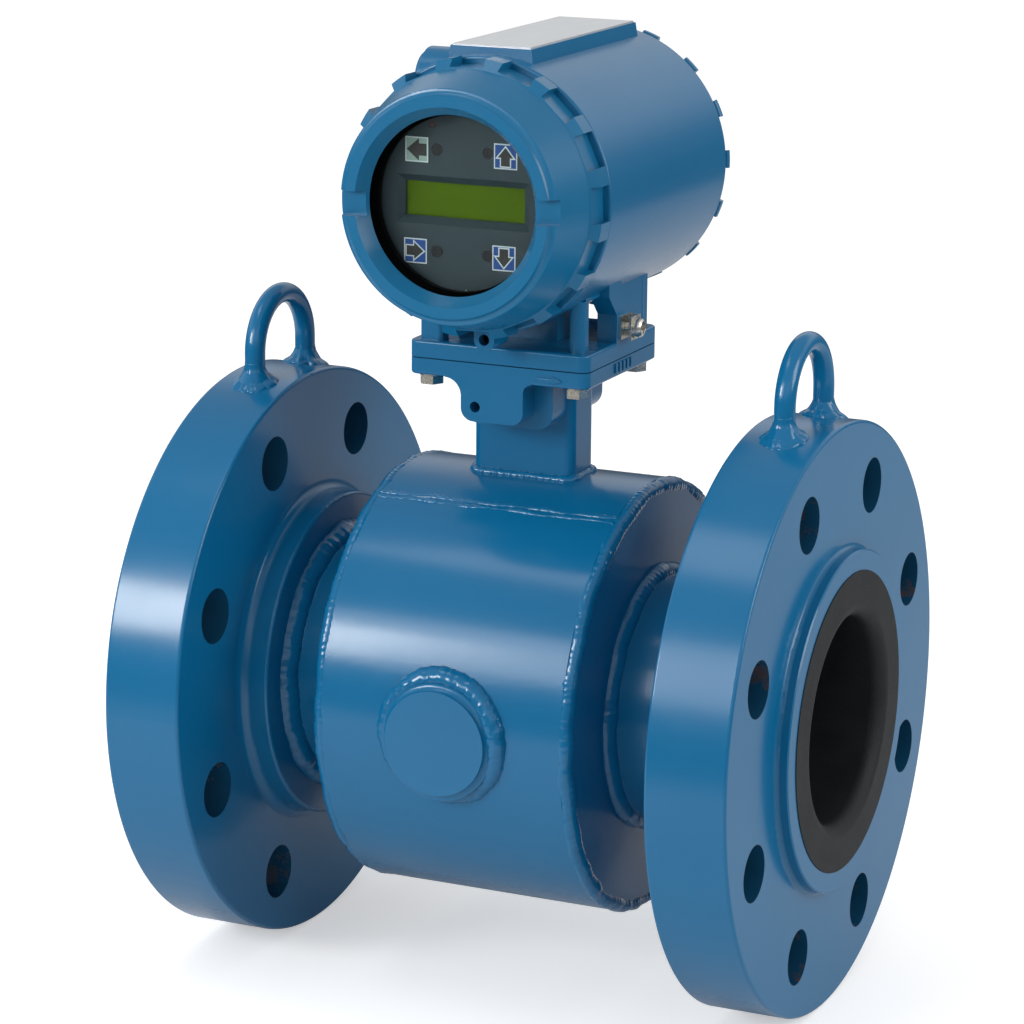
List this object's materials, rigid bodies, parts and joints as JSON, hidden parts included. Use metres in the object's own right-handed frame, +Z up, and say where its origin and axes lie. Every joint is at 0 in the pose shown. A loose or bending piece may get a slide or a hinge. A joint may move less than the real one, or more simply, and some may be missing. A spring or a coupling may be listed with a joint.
{
  "type": "electromagnetic flow meter",
  "caption": "Flanged pipe spool with a rubber-lined bore, a round coil housing and a twin-compartment display head on a short neck.",
  "frame": {"origin": "on the flow axis at the middle of the spool's length", "axes": "+X along the flow axis from inlet to outlet, +Z up through the neck to the head, -Y is the way the display looks"},
  "size_m": [0.3138, 0.2714, 0.4363],
  "materials": {
    "blue_paint": "satin",
    "cover_paint": "satin",
    "bolt_steel": "satin",
    "electrode_alloy": "polished",
    "black_rubber": "matte",
    "copper_coil": "satin",
    "core_iron": "matte",
    "plate_aluminium": "brushed",
    "window_glass": "clear",
    "bezel_plastic": "satin",
    "lcd_glass": "gloss",
    "lens_plastic": "gloss",
    "lamp_plastic": "gloss",
    "board_laminate": "satin",
    "insulating_plastic": "matte",
    "terminal_plastic": "matte"
  },
  "bodies": {
    "meter": {"base_bolts": "bolt_steel", "base_gasket": "black_rubber", "base_washers": "bolt_steel", "board_carrier": "plate_aluminium", "cap_welds": "blue_paint", "coil_housing_shell": "blue_paint", "display_bezel": "bezel_plastic", "display_board": "board_laminate", "display_spacers": "insulating_plastic", "electrode_insulators": "insulating_plastic", "electrode_nuts": "electrode_alloy", "end_plate_welds": "blue_paint", "feedthrough": "insulating_plastic", "flange_welds": "blue_paint", "flow_tube": "blue_paint", "flux_return_band": "core_iron", "front_electrode": "electrode_alloy", "front_electrode_cap": "blue_paint", "ground_clamp": "bolt_steel", "ground_screw": "bolt_steel", "inlet_end_plate": "blue_paint", "inlet_flange": "blue_paint", "inlet_lifting_hoop": "blue_paint", "jam_screws": "bolt_steel", "junction_plate": "blue_paint", "lcd_panel": "lcd_glass", "liner": "black_rubber", "lower_coil": "copper_coil", "lower_pole_piece": "core_iron", "main_board": "board_laminate", "main_board_spacers": "insulating_plastic", "name_plate": "plate_aluminium", "neck_tube": "blue_paint", "outlet_end_plate": "blue_paint", "outlet_flange": "blue_paint", "outlet_lifting_hoop": "blue_paint", "power_board": "board_laminate", "power_board_spacers": "insulating_plastic", "rear_electrode": "electrode_alloy", "rear_electrode_cap": "blue_paint", "status_lamp": "lamp_plastic", "switch_lenses": "lens_plastic", "terminal_block": "terminal_plastic", "terminal_screws": "bolt_steel", "transmitter_housing": "cover_paint", "upper_coil": "copper_coil", "upper_pole_piece": "core_iron"},
    "front_seal": {"front_cover_oring": "black_rubber"},
    "front_cover": {"front_cover": "cover_paint", "front_cover_glass": "window_glass", "glass_retaining_ring": "plate_aluminium"},
    "rear_seal": {"rear_cover_oring": "black_rubber"},
    "rear_cover": {"rear_cover": "cover_paint"}
  },
  "joints": [
    {"name": "front_cover_travel", "type": "slide", "parent": "meter", "child": "front_seal", "axis": [0, -1, 0], "range_m": [0, 0.013]},
    {"name": "front_cover_turn", "type": "hinge", "parent": "front_seal", "child": "front_cover", "pos_m": [0, -0.075, 0.2356], "axis": [0, -1, 0], "range_deg": [0, 2340]},
    {"name": "rear_cover_travel", "type": "slide", "parent": "meter", "child": "rear_seal", "axis": [0, 1, 0], "range_m": [0, 0.013]},
    {"name": "rear_cover_turn", "type": "hinge", "parent": "rear_seal", "child": "rear_cover", "pos_m": [0, 0.075, 0.2356], "axis": [0, 1, 0], "range_deg": [0, 2340]}
  ],
  "couplings": [
    {"joint": "front_cover_travel", "follows": "front_cover_turn", "m_per_rad": 0.00031831},
    {"joint": "rear_cover_travel", "follows": "rear_cover_turn", "m_per_rad": 0.00031831}
  ]
}
